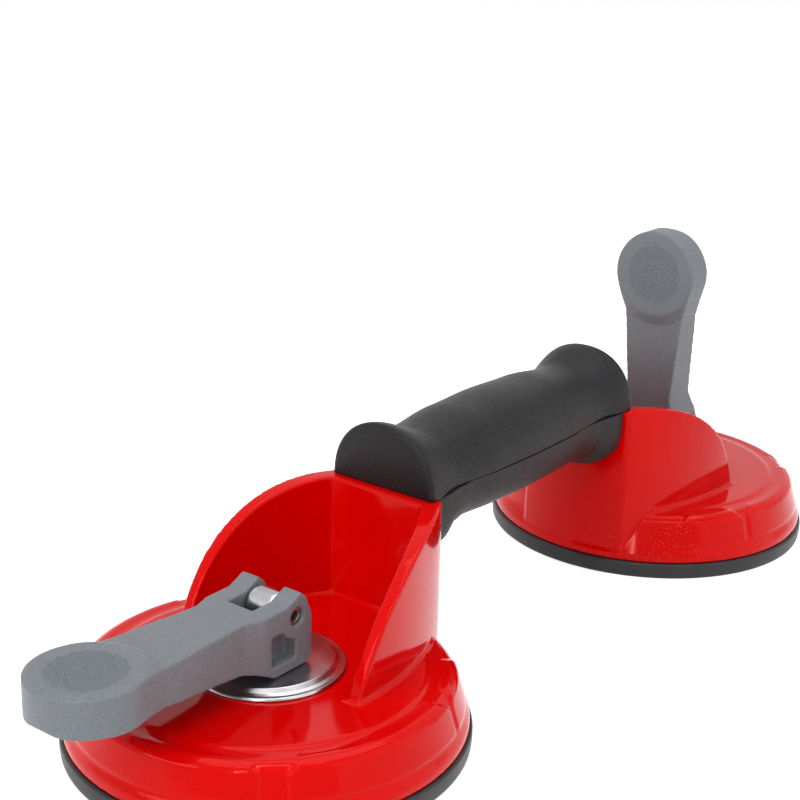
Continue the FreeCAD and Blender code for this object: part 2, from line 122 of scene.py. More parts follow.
# raised panels on the shoulder, from one angle to another
SHOULDER_PADS = ((-132.0, -71.5), (71.5, 132.0), (140.0, 220.0), (-69.0, -42.0), (42.0, 69.0))
PANEL_RAISE = 0.8
PANEL_FOOT = 12.0
PANEL_SIDE_TOP = 19.4
PANEL_CRESTS = ((0.9, 0.5, 20.4), (2.2, -0.4, 21.4), (3.4, -1.8, 22.0))    # trim, reach past the band, top
PANEL_ROOT = (50.6, 18.0)

# grip, each station (place, half width, height, squareness) from the middle to an end
PARTING = WALL_TOP
PARTING_GAP = 0.15               # on each side of the parting line
UPPER = ((0.0, 19.2, 17.6, 2.2), (20.0, 18.8, 17.0, 2.2), (42.0, 17.2, 15.0, 2.2),
         (GRIP_END - 1.0, 19.6, 20.0, 2.2))
LOWER = ((0.0, 19.2, 16.6, 2.7), (20.0, 18.8, 16.3, 2.7), (38.0, 17.4, 15.8, 2.8), (44.0, 17.7, 16.4, 3.0),
         (GRIP_END - 6.0, 18.9, 19.8, 3.6))

# rubber pad
PAD_RIM_WIDTH = 10
MEMBRANE = 3.0                   # thickness of the rubber between the rim and the plate
GROOVES = (57.2, 54.2)           # outer edges of the sealing grooves
GROOVE_DEPTH = 0.5
PAD_BOSS = (23, 21)              # foot and top radius of the boss that holds the plate
PAD_BOSS_TOP = 6.1
PAD_NECK = 9
PLATE_RADIUS = 18.1              # room for the plate moulded into the rubber
PLATE_ROOM = (1.9, 5.1)

# dish washer
WASHER_HOLE = 4.6
WASHER_SHEET = 1.2

# lever, from its pin, arm towards -X when flat
FLAT_REACH = 15.85               # from the pin to the heel's underside, a small gap above the washer
END_REACH = 6.35                 # and to its end face, which is underneath with the lever upright
HEEL_ROUND = 3.4
BLOCK_HALF = 11.3
BLOCK_LENGTH = 13.4
BLOCK_NECK = 6.2
ARM_HALF = 9.2
ARM_FLARE = 2.8
ARM_END = 52.0
ARM_TOP = 5.0
TIP_CENTRE = 68.0
TIP_RADIUS = 16.2
TIP_TOP = 6.8
TIP_SLOPE = 3.3
SLOT_HALF = 4.75
SLOT_DEPTH = 11.6
BOSS_RADIUS = 6.5
WINDOW = (-10.5, -0.6)           # recess in each cheek: its places along X, its heights and its depth
WINDOW_HEIGHTS = (-12.4, -3.0)
WINDOW_DEPTH = 4.5
TEXTURE_RADIUS = 11.4
DOT_PITCH = 1.15
DOT_RADIUS = 0.44
DOT_FLATNESS = 0.7


# ---- outlines ----------------------------------------------------------------------------
def rounded(corners, closed=True, turn_step=9.0):
    """Corners (a, b, radius) to a dense outline with each corner rounded."""
    out = []
    count = len(corners)
    for i, (a, b, radius) in enumerate(corners):
        here = Vector((a, b))
        if radius <= 0 or (not closed and i in (0, count - 1)):
            out.append(here)
            continue
        before = Vector(corners[i - 1][:2]) - here
        after = Vector(corners[(i + 1) % count][:2]) - here
        half = before.angle(after) / 2
        room = 0.49 * min(before.length, after.length)
        cut = min(radius / math.tan(half), room)
        r = cut * math.tan(half)
        start = here + before.normalized() * cut
        end = here + after.normalized() * cut
        middle = here + (before.normalized() + after.normalized()).normalized() * (r / math.sin(half))
        first = start - middle
        sweep = first.angle_signed(end - middle)
        steps = max(2, int(abs(math.degrees(sweep)) / turn_step) + 1)
        for k in range(steps + 1):
            turned = first.copy()
            turned.rotate(Matrix.Rotation(-sweep * k / steps, 2))
            out.append(middle + turned)
    return [(p.x, p.y) for p in out]


def new_object(name, verts, faces):
    """Mesh object from points in millimetres."""
    mesh = bpy.data.meshes.new(name)
    mesh.from_pydata([tuple(c * MM for c in v) for v in verts], [], faces)
    mesh.update()
    obj = bpy.data.objects.new(name, mesh)
    bpy.context.scene.collection.objects.link(obj)
    return obj


def outward(obj):
    """Merges doubles and turns every face outwards."""
    work = bmesh.new()
    work.from_mesh(obj.data)
    bmesh.ops.remove_doubles(work, verts=work.verts, dist=1e-7)
    bmesh.ops.recalc_face_normals(work, faces=work.faces)
    work.to_mesh(obj.data)
    work.free()
    return obj


def smooth(obj, angle=35.0):
    obj.data.shade_smooth()
    obj.data.set_sharp_from_angle(angle=math.radians(angle))
    return obj


def turned(name, profile, segments=192, start=0.0, end=360.0):
    """Solid of revolution about Z from a closed (radius, height) outline."""
    full = abs(end - start - 360.0) < 1e-6
    rings = segments if full else segments + 1
    verts = []
    for i in range(rings):
        angle = math.radians(start + (end - start) * i / segments)
        c, s = math.cos(angle), math.sin(angle)
        verts += [(r * c, r * s, z) for r, z in profile]
    n = len(profile)
    faces = []
    for i in range(segments):
        a, b = i * n, ((i + 1) % rings) * n
        for k in range(n):
            m = (k + 1) % n
            if profile[k][0] < 1e-9 and profile[m][0] < 1e-9:
                continue
            faces.append((a + k, b + k, b + m, a + m))
    if not full:
        faces.append(tuple(range(n)))
        faces.append(tuple(range((rings - 1) * n + n - 1, (rings - 1) * n - 1, -1)))
    return outward(new_object(name, verts, faces))


def prism(name, outline, axis, low, high):
    """Closed prism: the outline lies in the two other axes, in X, Y, Z order."""
    place = {"X": lambda p, h: (h, p[0], p[1]),
             "Y": lambda p, h: (p[0], h, p[1]),
             "Z": lambda p, h: (p[0], p[1], h)}[axis]
    n = len(outline)
    verts = [place(p, low) for p in outline] + [place(p, high) for p in outline]
    faces = [tuple(range(n)), tuple(range(2 * n - 1, n - 1, -1))]
    faces += [(k, (k + 1) % n, n + (k + 1) % n, n + k) for k in range(n)]
    return outward(new_object(name, verts, faces))


def block(name, x0, x1, y0, y1, z0, z1):
    return prism(name, [(x0, y0), (x1, y0), (x1, y1), (x0, y1)], "Z", z0, z1)


def round_bar(name, radius, axis, low, high, across=(0.0, 0.0), sides=64):
    """Cylinder along an axis, its centre line at a place across it."""
    ring = [(across[0] + radius * math.cos(2 * math.pi * i / sides),
             across[1] + radius * math.sin(2 * math.pi * i / sides)) for i in range(sides)]
    return prism(name, ring, axis, low, high)


def moved(obj, matrix):
    """Moves the mesh itself, so that the object keeps the frame's origin."""
    obj.data.transform(matrix)
    if matrix.determinant() < 0:
        obj.data.flip_normals()
    obj.data.update()
    return obj


def shift(x=0.0, y=0.0, z=0.0):
    return Matrix.Translation((x * MM, y * MM, z * MM))


def twist(degrees, axis):
    return Matrix.Rotation(math.radians(degrees), 4, axis)


def copy_of(obj, name):
    twin = bpy.data.objects.new(name, obj.data.copy())
    bpy.context.scene.collection.objects.link(twin)
    return twin


def drop(obj):
    bpy.data.objects.remove(obj, do_unlink=True)


def joined(name, parts):
    """One mesh holding all the parts."""
    work = bmesh.new()
    for part in parts:
        work.from_mesh(part.data)
    mesh = bpy.data.meshes.new(name)
    work.to_mesh(mesh)
    work.free()
    for part in parts:
        drop(part)
    obj = bpy.data.objects.new(name, mesh)
    bpy.context.scene.collection.objects.link(obj)
    return obj


def settled(obj, name=None):
    """The object with its modifiers made into its mesh."""
    bpy.context.view_layer.update()
    graph = bpy.context.evaluated_depsgraph_get()
    mesh = bpy.data.meshes.new_from_object(obj.evaluated_get(graph))
    label = name or obj.name
    drop(obj)
    done = bpy.data.objects.new(label, mesh)
    bpy.context.scene.collection.objects.link(done)
    return done


def carved(obj, tools, operation="DIFFERENCE"):
    """The object with the tools cut from it, or with only what they share."""
    for tool in tools:
        step = obj.modifiers.new("carve", "BOOLEAN")
        step.operation = operation
        step.solver = "EXACT"
        step.object = tool
    done = settled(obj)
    for tool in tools:
        drop(tool)
    return done


def cast(obj, voxel, passes, name=None, keep=1.0):
    """Fuses overlapping forms into one skin and softens its edges, as moulding and casting do."""
    skin = obj.modifiers.new("skin", "REMESH")
    skin.mode = "VOXEL"
    skin.voxel_size = voxel * MM
    soften = obj.modifiers.new("soften", "SMOOTH")
    soften.factor = 0.5
    soften.iterations = passes
    if keep < 1.0:
        thin = obj.modifiers.new("thin", "DECIMATE")
        thin.ratio = keep
    done = settled(obj, name)
    done.data.shade_smooth()
    return done


# ---- shader node groups ------------------------------------------------------------------
def group(name, inputs, outputs):
    """New node group with its sockets: its tree, its input node and its output node."""
    tree = bpy.data.node_groups.new(name, "ShaderNodeTree")
    for label, kind, value in inputs:
        socket = tree.interface.new_socket(label, in_out="INPUT", socket_type=kind)
        if value is not None:
            socket.default_value = value
    for label, kind in outputs:
        tree.interface.new_socket(label, in_out="OUTPUT", socket_type=kind)
    return tree, tree.nodes.new("NodeGroupInput"), tree.nodes.new("NodeGroupOutput")


def make_grain():
    """Height of a fine moulded or sprayed grain, from object coordinates."""
    tree, source, sink = group(
        "surface_grain",
        [("Scale", "NodeSocketFloat", 900.0), ("Sharpness", "NodeSocketFloat", 0.5),
         ("Swell Scale", "NodeSocketFloat", 60.0), ("Swell", "NodeSocketFloat", 0.2)],
        [("Height", "NodeSocketFloat"), ("Mask", "NodeSocketFloat")])
    nodes, links = tree.nodes, tree.links
    place = nodes.new("ShaderNodeTexCoord")
    fine = nodes.new("ShaderNodeTexNoise")
    fine.inputs["Detail"].default_value = 3.0
    links.new(place.outputs["Object"], fine.inputs["Vector"])
    links.new(source.outputs["Scale"], fine.inputs["Scale"])
    links.new(source.outputs["Sharpness"], fine.inputs["Roughness"])
    wide = nodes.new("ShaderNodeTexNoise")
    wide.inputs["Detail"].default_value = 1.0
    links.new(place.outputs["Object"], wide.inputs["Vector"])
    links.new(source.outputs["Swell Scale"], wide.inputs["Scale"])
    mix = nodes.new("ShaderNodeMix")
    links.new(source.outputs["Swell"], mix.inputs["Factor"])
    links.new(fine.outputs["Fac"], mix.inputs[2])
    links.new(wide.outputs["Fac"], mix.inputs[3])
    links.new(mix.outputs[0], sink.inputs["Height"])
    links.new(wide.outputs["Fac"], sink.inputs["Mask"])
    return tree


def make_tone():
    """Base colour that drifts between two tones over the surface."""
    tree, source, sink = group(
        "tone_drift",
        [("Tone A", "NodeSocketColor", (0.5, 0.5, 0.5, 1)),
         ("Tone B", "NodeSocketColor", (0.4, 0.4, 0.4, 1)),
         ("Scale", "NodeSocketFloat", 40.0), ("Contrast", "NodeSocketFloat", 0.5)],
        [("Color", "NodeSocketColor")])
    nodes, links = tree.nodes, tree.links
    place = nodes.new("ShaderNodeTexCoord")
    noise = nodes.new("ShaderNodeTexNoise")
    noise.inputs["Detail"].default_value = 4.0
    links.new(place.outputs["Object"], noise.inputs["Vector"])
    links.new(source.outputs["Scale"], noise.inputs["Scale"])
    spread = nodes.new("ShaderNodeMapRange")
    spread.inputs["From Min"].default_value = 0.35
    spread.inputs["From Max"].default_value = 0.65
    links.new(noise.outputs["Fac"], spread.inputs["Value"])
    links.new(source.outputs["Contrast"], spread.inputs["To Max"])
    mix = nodes.new("ShaderNodeMix")
    mix.data_type = "RGBA"
    links.new(spread.outputs["Result"], mix.inputs["Factor"])
    links.new(source.outputs["Tone A"], mix.inputs[6])
    links.new(source.outputs["Tone B"], mix.inputs[7])
    links.new(mix.outputs[2], sink.inputs["Color"])
    return tree


def make_specks():
    """Colour with fine pale specks, thicker in patches."""
    tree, source, sink = group(
        "fine_specks",
        [("Color", "NodeSocketColor", (0.5, 0.5, 0.5, 1)),
         ("Speck Color", "NodeSocketColor", (0.9, 0.9, 0.9, 1)),
         ("Scale", "NodeSocketFloat", 700.0), ("Patch Scale", "NodeSocketFloat", 35.0),
         ("Amount", "NodeSocketFloat", 0.5)],
        [("Color", "NodeSocketColor")])
    nodes, links = tree.nodes, tree.links
    place = nodes.new("ShaderNodeTexCoord")
    cells = nodes.new("ShaderNodeTexVoronoi")
    links.new(place.outputs["Object"], cells.inputs["Vector"])
    links.new(source.outputs["Scale"], cells.inputs["Scale"])
    dot = nodes.new("ShaderNodeMapRange")
    dot.inputs["From Min"].default_value = 0.22
    dot.inputs["From Max"].default_value = 0.08
    links.new(cells.outputs["Distance"], dot.inputs["Value"])
    patch = nodes.new("ShaderNodeTexNoise")
    patch.inputs["Detail"].default_value = 3.0
    links.new(place.outputs["Object"], patch.inputs["Vector"])
    links.new(source.outputs["Patch Scale"], patch.inputs["Scale"])
    thick = nodes.new("ShaderNodeMapRange")
    thick.inputs["From Min"].default_value = 0.5
    thick.inputs["From Max"].default_value = 0.72
    links.new(patch.outputs["Fac"], thick.inputs["Value"])
    some = nodes.new("ShaderNodeMath")
    some.operation = "MULTIPLY"
    links.new(dot.outputs["Result"], some.inputs[0])
    links.new(thick.outputs["Result"], some.inputs[1])
    mask = nodes.new("ShaderNodeMath")
    mask.operation = "MULTIPLY"
    links.new(some.outputs[0], mask.inputs[0])
    links.new(source.outputs["Amount"], mask.inputs[1])
    mix = nodes.new("ShaderNodeMix")
    mix.data_type = "RGBA"
    links.new(mask.outputs[0], mix.inputs["Factor"])
    links.new(source.outputs["Color"], mix.inputs[6])
    links.new(source.outputs["Speck Color"], mix.inputs[7])
    links.new(mix.outputs[2], sink.inputs["Color"])
    return tree


GRAIN = make_grain()
SPECKS = make_specks()
TONE = make_tone()


def finish_material(name, tone_a, tone_b, tone_scale, grain, depth, rough, metallic=0.0, specular=0.5,
                    specks=None, tint=(1.0, 1.0, 1.0)):
    """Material of one finish: drifting tone, grain bump, and roughness that follows the grain's swell.

    grain is (scale, sharpness, swell scale, swell), depth its height in millimetres, rough the least and
    the most roughness, and specks (colour, scale, patch scale, amount).
    """
    material = bpy.data.materials.new(name)
    material.use_nodes = True
    nodes, links = material.node_tree.nodes, material.node_tree.links
    shader = nodes["Principled BSDF"]
    tone = nodes.new("ShaderNodeGroup")
    tone.node_tree = TONE
    tone.inputs["Tone A"].default_value = (*tone_a, 1)
    tone.inputs["Tone B"].default_value = (*tone_b, 1)
    tone.inputs["Scale"].default_value = tone_scale
    tone.inputs["Contrast"].default_value = 1.0
    if specks:
        dust = nodes.new("ShaderNodeGroup")
        dust.node_tree = SPECKS
        for label, value in zip(("Speck Color", "Scale", "Patch Scale", "Amount"), specks):
            dust.inputs[label].default_value = value
        links.new(tone.outputs["Color"], dust.inputs["Color"])
        links.new(dust.outputs["Color"], shader.inputs["Base Color"])
    else:
        links.new(tone.outputs["Color"], shader.inputs["Base Color"])
    texture = nodes.new("ShaderNodeGroup")
    texture.node_tree = GRAIN
    for label, value in zip(("Scale", "Sharpness", "Swell Scale", "Swell"), grain):
        texture.inputs[label].default_value = value
    bump = nodes.new("ShaderNodeBump")
    bump.inputs["Strength"].default_value = 1.0
    bump.inputs["Distance"].default_value = depth * MM
    links.new(texture.outputs["Height"], bump.inputs["Height"])
    links.new(bump.outputs["Normal"], shader.inputs["Normal"])
    vary = nodes.new("ShaderNodeMapRange")
    vary.inputs["To Min"].default_value = rough[0]
    vary.inputs["To Max"].default_value = rough[1]
    links.new(texture.outputs["Mask"], vary.inputs["Value"])
    links.new(vary.outputs["Result"], shader.inputs["Roughness"])
    shader.inputs["Metallic"].default_value = metallic
    shader.inputs["Specular IOR Level"].default_value = specular
    shader.inputs["Specular Tint"].default_value = (*tint, 1)
    return material


RED_PAINT = finish_material(
    "red_paint", (0.64, 0.0, 0.0), (0.59, 0.0, 0.0), tone_scale=20.0, grain=(350.0, 0.5, 70.0, 0.6),
    depth=0.012, rough=(0.05, 0.12), specular=0.24, specks=((0.9, 0.45, 0.4, 1), 1500.0, 22.0, 0.3),
    tint=(1.0, 0.37, 0.33))
GRIP_PLASTIC = finish_material(
    "grip_plastic", (0.002, 0.0018, 0.002), (0.012, 0.011, 0.0135), tone_scale=1500.0,
    grain=(1500.0, 0.7, 300.0, 0.1), depth=0.2, rough=(0.36, 0.48), specular=0.22,
    specks=((0.10, 0.10, 0.12, 1), 1500.0, 90.0, 0.8))
LEVER_PLASTIC = finish_material(
    "lever_plastic", (0.145, 0.158, 0.172), (0.185, 0.20, 0.218), tone_scale=1600.0,
    grain=(1800.0, 0.7, 200.0, 0.1), depth=0.08, rough=(0.4, 0.52), specular=0.3)
ZINC_PLATE = finish_material(
    "zinc_plate", (0.50, 0.49, 0.50), (0.36, 0.35, 0.37), tone_scale=90.0, grain=(700.0, 0.6, 150.0, 0.4),
    depth=0.01, rough=(0.16, 0.32), metallic=1.0)
PIN_STEEL = finish_material(
    "pin_steel", (0.55, 0.5, 0.46), (0.3, 0.26, 0.23), tone_scale=400.0, grain=(900.0, 0.6, 200.0, 0.3),
    depth=0.02, rough=(0.25, 0.4), metallic=1.0)
PAD_RUBBER = finish_material(
    "pad_rubber", (0.010, 0.010, 0.011), (0.017, 0.017, 0.019), tone_scale=120.0,
    grain=(900.0, 0.6, 200.0, 0.3), depth=0.05, rough=(0.38, 0.5), specular=0.35)
BUSH_PLASTIC = finish_material(
    "bush_plastic", (0.7, 0.69, 0.64), (0.62, 0.6, 0.55), tone_scale=80.0, grain=(900.0, 0.5, 200.0, 0.3),
    depth=0.02, rough=(0.4, 0.5))


def paint(mesh, material):
    mesh.materials.clear()
    mesh.materials.append(material)


def dress(obj, material, slot, body, *nodes):
    """Gives a piece its finish, its body and the nodes that it stands for."""
    paint(obj.data, material)
    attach(obj, body)
    if nodes:
        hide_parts(*nodes)


# ---- casting -----------------------------------------------------------------------------
def bell_profile():
    """Section of a cup: ring step, dome, shoulder, band and rim outside, cavity and nut pocket inside."""
    return rounded([
        (BUSH_HOLE, SEAT, 0), (46.5, SEAT, 0.8), (STEP_RADIUS, SEAT - 0.5, 0.8), (DOME_EDGE, SEAT - 0.7, 2.0),
        (BAND_TOP_RADIUS, BAND_TOP, 1.2), (BAND_RADIUS, BAND_FOOT, 0.8), (RIM_RADIUS, RIM_TOP, 4.0),
        (RIM_RADIUS, RIM_FOOT, 0.3), (52.6, RIM_FOOT, 0), (CAVITY_RADIUS, CAVITY_SHOULDER, 3.0),
        (CAVITY_ROOF_RADIUS, CEILING, 3.0), (NUT_POCKET_RADIUS, CEILING, 0),
        (NUT_POCKET_RADIUS, NUT_POCKET_CEILING, 0), (BUSH_HOLE, NUT_POCKET_CEILING, 0)])


def cavity_room():
    """Room under the dome, with the nut pocket and the bush's hole, that the walls keep clear of."""
    return turned("room", [
        (0, 3.0), (53.0, 3.0), (CAVITY_RADIUS, CAVITY_SHOULDER), (CAVITY_ROOF_RADIUS, CEILING),
        (NUT_POCKET_RADIUS, CEILING), (NUT_POCKET_RADIUS, NUT_POCKET_CEILING),
        (BUSH_HOLE, NUT_POCKET_CEILING), (BUSH_HOLE, SEAT + 2), (0, SEAT + 2)], segments=96)


def shoulder_panel(start, end):
    """Raised panel that wraps over the shoulder: its side, and crests trimmed to round its upper corners."""
    root, foot = PANEL_ROOT
    segments = int(end - start)
    side = [(BAND_RADIUS + PANEL_RAISE, PANEL_FOOT), (BAND_TOP_RADIUS + 0.7, PANEL_SIDE_TOP),
            (BAND_TOP_RADIUS - 3.0, PANEL_SIDE_TOP), (BAND_RADIUS - 4, PANEL_FOOT)]
    parts = [turned("panel", side, segments, start, end)]
    for trim, out, top in PANEL_CRESTS:
        crest = [(BAND_TOP_RADIUS + PANEL_RAISE, foot), (BAND_TOP_RADIUS + out, top),
                 (root, top), (root, foot)]
        parts.append(turned("panel", crest, segments, start + trim, end - trim))
    return parts


def bow(reach, radius, start, end, step=1.5):
    """Plan arc of a rib's face on the +Y side, from one place along X to another."""
    count = max(1, int(abs(end - start) / step))
    places = [start + (end - start) * k / count for k in range(count + 1)]
    return [(x, reach - radius + math.sqrt(radius ** 2 - (x - RIB_WIDEST) ** 2), 0) for x in places]


def meeting(reach, radius, back):
    """Place along X where a rib's face meets the round back."""
    low, high = RIB_WIDEST, back
    for _ in range(40):
        x = (low + high) / 2
        y = bow(reach, radius, x, x + 1)[0][1]
        low, high = (x, high) if math.hypot(x, y) < back else (low, x)
    return low


def both_sides(half):
    """Closed plan outline from its half on the +Y side, front to back."""
    return rounded([(x, -y, r) for x, y, r in half] + [(x, y, r) for x, y, r in half[::-1]])


def outer_plan(grow):
    """Outside of the walls: two bowed ribs that meet a back on the bell's cylinder."""
    reach, radius = RIB_OUTER[0] + grow, RIB_OUTER[1] + grow
    corner = meeting(reach, radius, WALL_BACK)
    side = bow(reach, radius, RIB_FRONT, corner - CORNER_LEAD)
    tip = bow(reach, radius, corner, corner + 1)[0]
    first = math.degrees(math.asin(tip[1] / WALL_BACK)) - CORNER_LEAD_ANGLE
    arc = [math.radians(first * (1 - k / 30)) for k in range(30)]
    return both_sides(side + [(tip[0], tip[1], WALL_CORNER)]
                      + [(WALL_BACK * math.cos(a), WALL_BACK * math.sin(a), 0) for a in arc])


def inner_plan(grow):
    """Inside of the walls: two bowed faces and the flat face of the plate."""
    reach, radius = RIB_INNER[0] - grow, RIB_INNER[1] - grow
    face = PLATE_FACE - grow
    tip = bow(reach, radius, face, face + 1)[0]
    return both_sides(bow(reach, radius, -40.0, face - CORNER_LEAD) + [(face, tip[1], PLATE_CORNER)])


def pocket(grow, top):
    """Walls round the lever's heel up to a height, thicker by grow, cut by one arc from the side."""
    walls = prism("walls", outer_plan(grow), "Z", RIM_FOOT + 0.2, top)
    room = prism("room", inner_plan(grow), "Z", SEAT, WALL_TOP + 5)
    walls = carved(walls, [room])
    centre = WALL_TOP - RIB_TOP_RADIUS
    radius = RIB_TOP_RADIUS + grow
    side = [(RIB_TOP_PLACE - radius * math.sin(math.radians(a)), centre + radius * math.cos(math.radians(a)))
            for a in range(0, 91, 2)]
    side += [(RIB_TOP_PLACE - radius, 0.0), (WALL_BACK + 5, 0.0), (WALL_BACK + 5, centre + radius)]
    return carved(walls, [prism("side", side, "Y", -60.0, 60.0)], "INTERSECT")


def cup_casting():
    """One cup of the casting, from its centre, with half of the bar inside the grip."""
    room = cavity_room()
    walls = carved(pocket(0.0, WALL_TOP), [copy_of(room, "room_copy")])
    feet = carved(pocket(FOOT_FLARE, SEAT + FOOT_FLARE), [room])
    low, high = CEILING - 1, SEAT + 5
    dome = turned("dome", [(0, low), (FOOT_REACH, low), (FOOT_REACH, high), (0, high)], segments=180)
    feet = carved(feet, [dome], "INTERSECT")
    parts = [walls, feet, turned("bell", bell_profile(), segments=240)]
    for start, end in SHOULDER_PADS:
        parts += shoulder_panel(start, end)
    middle = -NEAR_CUP
    parts.append(block("bar", middle - BAR_REACH, middle, -BAR_HALF, BAR_HALF, *BAR_HEIGHTS))
    return cast(joined("cup_casting", parts), voxel=0.45, passes=9, name="near_casting", keep=0.36)


near_casting = cup_casting()
far_casting = copy_of(near_casting, "far_casting")
moved(near_casting, shift(NEAR_CUP))
moved(far_casting, shift(FAR_CUP) @ twist(180, "Z"))
for piece in (near_casting, far_casting):
    dress(piece, RED_PAINT, "red_casting", "body", "cast_body")


# ---- grip --------------------------------------------------------------------------------
def ease(stations, place):
    """Values between stations, level at each one."""
    place = abs(place)
    for (p0, *v0), (p1, *v1) in zip(stations, stations[1:]):
        if place <= p1:
            t = (place - p0) / (p1 - p0)
            t = t * t * (3 - 2 * t)
            return [a + (b - a) * t for a, b in zip(v0, v1)]
    return list(stations[-1][1:])


def d_ring(half_width, height, power, steps):
    """Half of a superellipse, from the +Y side over to the -Y side."""
    ring = []
    for i in range(steps + 1):
        angle = math.pi * i / steps
        c, s = math.cos(angle), math.sin(angle)
        reach = (abs(c) ** power + s ** power) ** (-1 / power)
        ring.append((half_width * reach * c, height * reach * s))
    return ring


def grip_shell(name, stations, base, way, end_at, end_round):
    """D-shaped shell from end to end; way is +1 above the parting line and -1 below it.

    end_at gives how far the shell reaches along X at a place y, and end_round rounds its end edges.
    """
    steps, along = 56, 150
    verts, faces = [], []
    evenly = [-1 + 2 * i / along for i in range(along + 1)]
    rows = [math.copysign(1 - (1 - abs(u)) ** 1.25, u) for u in evenly]    # closer together at the ends
    for u in rows:
        half_width, height, power = ease(stations, u * GRIP_END)
        near_end = (1 - abs(u)) * GRIP_END
        inset = 0.0
        if near_end < end_round:
            inset = end_round - math.sqrt(max(0.0, end_round ** 2 - (end_round - near_end) ** 2))
        ring = d_ring(half_width - inset, height - inset, power, steps)
        for y, h in ring:
            verts.append((u * end_at(y), y, base + way * h))
    n = steps + 1
    for i in range(along):
        for k in range(steps):
            faces.append((i * n + k, i * n + k + 1, (i + 1) * n + k + 1, (i + 1) * n + k))
        faces.append((i * n + steps, i * n, (i + 1) * n, (i + 1) * n + steps))
    faces.append(tuple(range(n)))
    faces.append(tuple(range(along * n + n - 1, along * n - 1, -1)))
    return outward(new_object(name, verts, faces))


def flat_end(y):
    return GRIP_END


def wall_back_at(y):
    """Reach along X of the back of a wall, less a small gap."""
    return -NEAR_CUP - math.sqrt(WALL_BACK ** 2 - y ** 2) - 0.1


def edged(piece, width, segments, limit):
    """The piece with its edges sharper than limit degrees rounded."""
    edge = piece.modifiers.new("edge", "BEVEL")
    edge.width = width * MM
    edge.segments = segments
    edge.angle_limit = math.radians(limit)
    return settled(piece)


grip_upper = grip_shell("grip_upper", UPPER, PARTING + PARTING_GAP, 1, flat_end, end_round=1.4)
grip_lower = grip_shell("grip_lower", LOWER, PARTING - PARTING_GAP, -1, wall_back_at, end_round=0.4)
for shell, node in ((grip_upper, "grip_upper_shell"), (grip_lower, "grip_lower_shell")):
    piece = smooth(edged(shell, width=0.35, segments=2, limit=50), 40)
    dress(piece, GRIP_PLASTIC, "grip_plastic", "body", node)


# ---- dish washers, eye bolts, pads -------------------------------------------------------
def washer_profile():
    """Section of a dish washer: raised middle, low ridge, and a flange that rests on the seat."""
    flange = SEAT + WASHER_SHEET
    under = WASHER_TOP - WASHER_SHEET
    return rounded([
        (WASHER_HOLE, WASHER_TOP, 0.2), (19.2, WASHER_TOP, 0.9), (20.5, flange + 0.35, 0.8),
        (21.6, flange - 0.15, 1.0), (22.5, flange, 0.5), (WASHER_RADIUS, SEAT + 0.5, 0.4),
        (WASHER_RADIUS - 0.2, SEAT, 0.2), (20.4, SEAT, 0.5), (18.6, under, 0.6), (WASHER_HOLE, under, 0.2)])


def eye_bolt(name, pin_height, foot):
    """Eye round the lever's pin. The bore's cut drops the shank joined below it."""
    edge = 0.6
    barrel = rounded([(0, -EYE_HALF, 0), (EYE_RADIUS, -EYE_HALF, edge), (EYE_RADIUS, EYE_HALF, edge),
                      (0, EYE_HALF, 0)])
    eye = moved(turned("eye", barrel, segments=96), shift(z=pin_height) @ twist(90, "X"))
    shank = round_bar("shank", SHANK_RADIUS, "Z", foot, pin_height - 1)
    bore = round_bar("bore", PIN_RADIUS + 0.05, "Y", -6, 6, (0, pin_height))
    return cast(carved(joined(name, [eye, shank]), [bore]), voxel=0.4, passes=3, name=name)


def spring_pin(name):
    """Hollow slit pin, rounded at both ends."""
    sweep = 360 - 2 * SLIT_HALF_ANGLE
    angles = [math.radians(SLIT_HALF_ANGLE + sweep * k / 60) for k in range(61)]
    outline = [(-PIN_RADIUS * math.cos(a), PIN_RADIUS * math.sin(a)) for a in angles]
    outline += [(-PIN_BORE * math.cos(a), PIN_BORE * math.sin(a)) for a in angles[::-1]]
    piece = prism(name, outline, "Y", -PIN_REACH, PIN_REACH)
    return smooth(edged(piece, width=0.3, segments=3, limit=60), 35)


def pad_profile(lift):
    """Section of a rubber pad, its centre raised by lift, with shallow sealing grooves under the rim."""
    rim_in = PAD_RADIUS - PAD_RIM_WIDTH
    slope_start = rim_in - 2
    boss_foot, boss_top = PAD_BOSS

    def slope(offset):
        """Face of the membrane from the rim in to the boss."""
        points = []
        for i in range(25):
            t = i / 24
            points.append((slope_start + (boss_foot - slope_start) * t, offset + lift * t * t * (3 - 2 * t)))
        return points

    rim = [(slope_start, MEMBRANE, 0), (rim_in, RIM_FOOT, 0.5), (PAD_RADIUS, RIM_FOOT, 0.9),
           (PAD_RADIUS, 2.6, 2.0), (PAD_RADIUS - 0.3, 0, 0.9)]
    for edge in GROOVES:
        rim += [(edge, 0, 0.2), (edge - 0.4, GROOVE_DEPTH, 0.2), (edge - 1.3, GROOVE_DEPTH, 0.2),
                (edge - 1.7, 0, 0.2)]
    outside = rounded(rim + [(slope_start, 0, 0)], closed=False)
    plate_foot, plate_top = (height + lift for height in PLATE_ROOM)
    boss = [(0, plate_foot), (PLATE_RADIUS, plate_foot), (PLATE_RADIUS, plate_top), (PAD_NECK, plate_top),
            (PAD_NECK, PAD_BOSS_TOP + lift), (boss_top, PAD_BOSS_TOP + lift), (boss_foot, MEMBRANE + lift)]
    return outside + slope(0.0)[1:] + [(0, lift)] + boss + slope(MEMBRANE)[::-1][1:-1]


